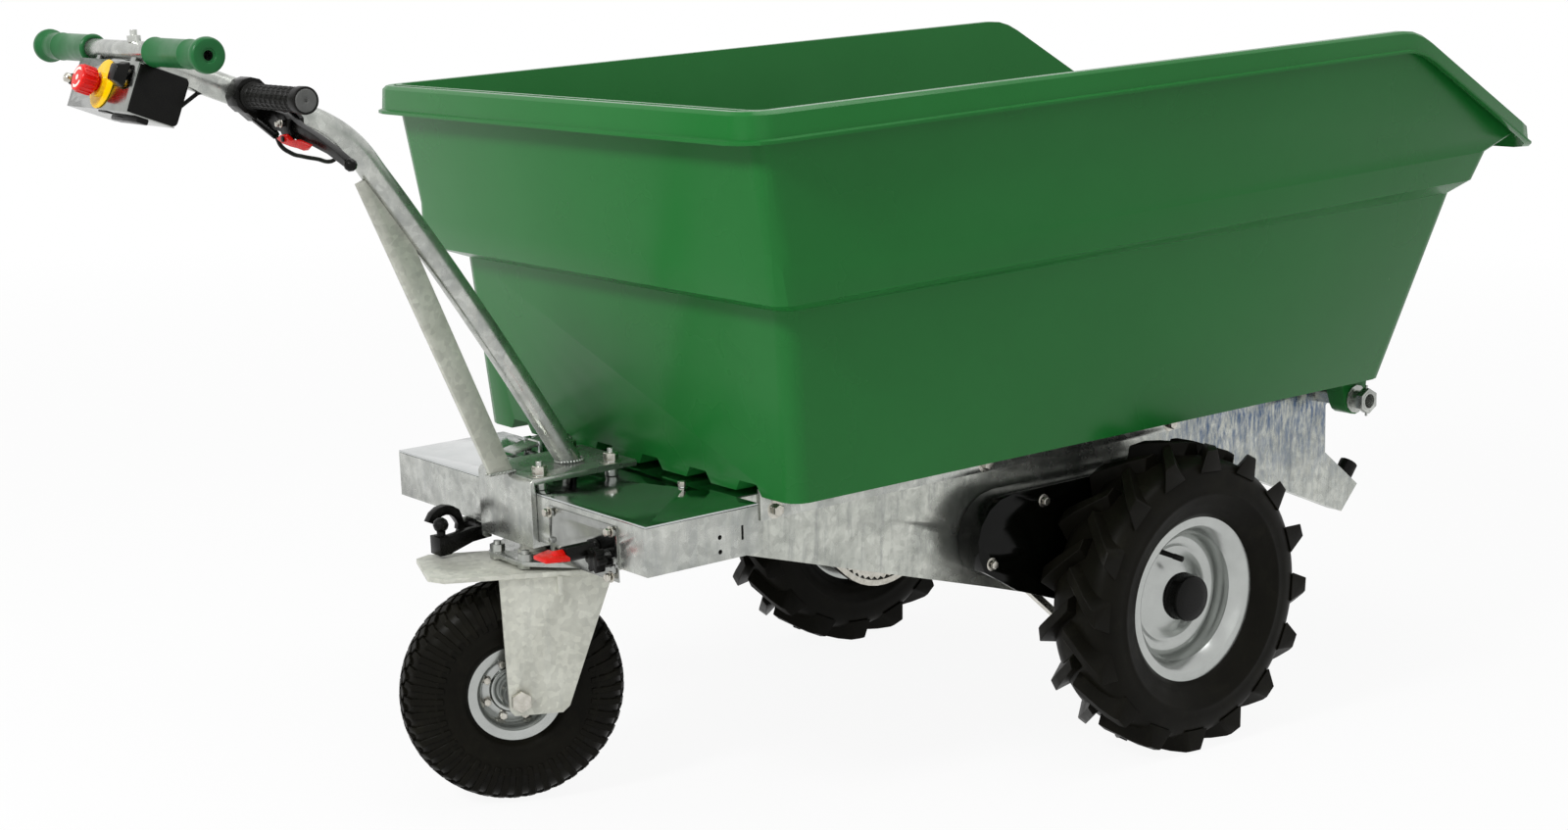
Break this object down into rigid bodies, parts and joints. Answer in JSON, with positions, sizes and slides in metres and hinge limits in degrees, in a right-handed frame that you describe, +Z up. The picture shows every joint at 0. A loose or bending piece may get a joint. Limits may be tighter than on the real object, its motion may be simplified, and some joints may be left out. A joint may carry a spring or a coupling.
{
  "type": "electric mini dumper",
  "caption": "Pedestrian electric dumper: a tipping plastic tub on a chain driven axle, with a rear caster, a bent steering pole and a cross handle.",
  "frame": {"origin": "ground level, under the middle of the machine's overall length and width", "axes": "+X towards the dump end, +Y to the machine's left, +Z up"},
  "size_m": [2.0496, 0.876, 0.9889],
  "materials": {
    "green_tub": "moulded, satin",
    "green_grip": "soft moulded",
    "galvanised": "hot dip galvanised, mottled",
    "stainless": "bright rolled sheet",
    "plated_steel": "zinc plated",
    "silver_paint": "silver enamel",
    "black_plastic": "satin moulded",
    "black_rubber": "matt",
    "tyre": "matt",
    "red_plastic": "moulded",
    "yellow_plastic": "moulded",
    "motor_paint": "dark enamel"
  },
  "bodies": {
    "chassis": {"left_side_plate": "galvanised", "right_side_plate": "galvanised", "left_support_strip": "galvanised", "right_support_strip": "galvanised", "left_buffer": "black_rubber", "right_buffer": "black_rubber", "deck_sheet": "stainless", "electrics_box": "galvanised", "electrics_cover": "stainless", "switch_panel": "plated_steel", "isolator_body": "black_plastic", "charging_socket": "black_plastic", "motor_controller": "plated_steel", "battery_tray": "galvanised", "battery_pack": "black_plastic", "geared_motor": "motor_paint", "drive_axle": "plated_steel", "tipping_shaft": "galvanised", "left_chain": "plated_steel", "right_chain": "plated_steel", "left_chain_guard": "black_plastic", "right_chain_guard": "black_plastic", "handle_bracket": "galvanised", "handle_pole": "galvanised", "handle_brace": "galvanised", "handle_bar": "galvanised", "left_grip": "green_grip", "right_grip": "green_grip", "control_bracket": "stainless", "control_enclosure": "black_plastic", "stop_collar": "yellow_plastic", "brake_grip": "black_rubber", "brake_perch": "black_plastic", "brake_cable": "black_rubber", "control_cable": "black_rubber", "pedal_bracket": "galvanised", "swivel_plate": "galvanised"},
    "tub": {"tub": "green_tub"},
    "left_wheel": {"left_drive_tyre": "tyre", "left_drive_rim": "silver_paint", "left_sprocket_hub": "plated_steel", "left_hub_cap": "black_plastic"},
    "right_wheel": {"right_drive_tyre": "tyre", "right_drive_rim": "silver_paint", "right_sprocket_hub": "plated_steel", "right_hub_cap": "black_plastic"},
    "left_pinion": {"left_pinion_shaft": "plated_steel"},
    "right_pinion": {"right_pinion_shaft": "plated_steel"},
    "caster_fork": {"caster_fork": "galvanised", "caster_axle_bolt": "plated_steel"},
    "caster_wheel": {"caster_tyre": "tyre", "caster_rim": "silver_paint"},
    "release_pedal": {"release_pedal": "black_plastic"},
    "latch_hook": {"latch_hook": "galvanised"},
    "brake_lever": {"brake_lever": "black_plastic"},
    "parking_lock": {"parking_lock": "red_plastic"},
    "emergency_stop": {"emergency_stop": "red_plastic"},
    "direction_switch": {"direction_switch": "black_plastic"},
    "speed_knob": {"speed_knob": "black_plastic"},
    "isolator_key": {"isolator_key": "red_plastic"}
  },
  "joints": [
    {"name": "tub_tilt", "type": "hinge", "parent": "chassis", "child": "tub", "pos_m": [0.77109, 0, 0.43101], "axis": [0, 1, 0], "range_deg": [0, 80]},
    {"name": "left_wheel_spin", "type": "hinge", "parent": "chassis", "child": "left_wheel", "pos_m": [0.35158, 0, 0.211], "axis": [0, 1, 0], "continuous": true},
    {"name": "right_wheel_spin", "type": "hinge", "parent": "chassis", "child": "right_wheel", "pos_m": [0.35158, 0, 0.211], "axis": [0, 1, 0], "continuous": true},
    {"name": "left_pinion_spin", "type": "hinge", "parent": "chassis", "child": "left_pinion", "pos_m": [0.10736, 0, 0.31128], "axis": [0, 1, 0], "continuous": true},
    {"name": "right_pinion_spin", "type": "hinge", "parent": "chassis", "child": "right_pinion", "pos_m": [0.10736, 0, 0.31128], "axis": [0, 1, 0], "continuous": true},
    {"name": "caster_swivel", "type": "hinge", "parent": "chassis", "child": "caster_fork", "pos_m": [-0.45142, 0, 0.305], "axis": [0, 0, 1], "continuous": true},
    {"name": "caster_spin", "type": "hinge", "parent": "caster_fork", "child": "caster_wheel", "pos_m": [-0.47935, 0.01095, 0.145], "axis": [0.3649, 0.9311, 0], "continuous": true},
    {"name": "pedal_lift", "type": "hinge", "parent": "chassis", "child": "release_pedal", "pos_m": [-0.47418, 0.1, 0.33796], "axis": [0, 1, 0], "range_deg": [0, 20], "stiffness_Nm_per_rad": 4},
    {"name": "latch_release", "type": "hinge", "parent": "chassis", "child": "latch_hook", "pos_m": [-0.34765, 0.1575, 0.42711], "axis": [0, 1, 0], "range_deg": [0, 8]},
    {"name": "brake_pull", "type": "hinge", "parent": "chassis", "child": "brake_lever", "pos_m": [-0.80939, -0.09, 0.88465], "axis": [-0.9992, 0, -0.0401], "range_deg": [0, 10], "stiffness_Nm_per_rad": 2},
    {"name": "parking_lock_swing", "type": "hinge", "parent": "chassis", "child": "parking_lock", "pos_m": [-0.82202, -0.0987, 0.86773], "axis": [-0.9992, 0, -0.0401], "range_deg": [0, 15]},
    {"name": "stop_push", "type": "slide", "parent": "chassis", "child": "emergency_stop", "axis": [0.9409, 0, -0.3387], "range_m": [0, 0.004]},
    {"name": "direction_rock", "type": "hinge", "parent": "chassis", "child": "direction_switch", "pos_m": [-0.98664, -0.0525, 0.9407], "axis": [0, 1, 0], "range_deg": [-10, 10]},
    {"name": "speed_turn", "type": "hinge", "parent": "chassis", "child": "speed_knob", "pos_m": [-0.99105, 0.048, 0.92847], "axis": [-0.9409, 0, 0.3387], "range_deg": [0, 270]},
    {"name": "key_turn", "type": "hinge", "parent": "chassis", "child": "isolator_key", "pos_m": [-0.52532, -0.189, 0.36543], "axis": [0.9992, 0, 0.0401], "range_deg": [0, 90]}
  ],
  "couplings": [
    {"joint": "left_pinion_spin", "follows": "left_wheel_spin", "ratio": 5},
    {"joint": "right_pinion_spin", "follows": "right_wheel_spin", "ratio": 5},
    {"joint": "latch_release", "follows": "pedal_lift", "ratio": 0.4}
  ]
}
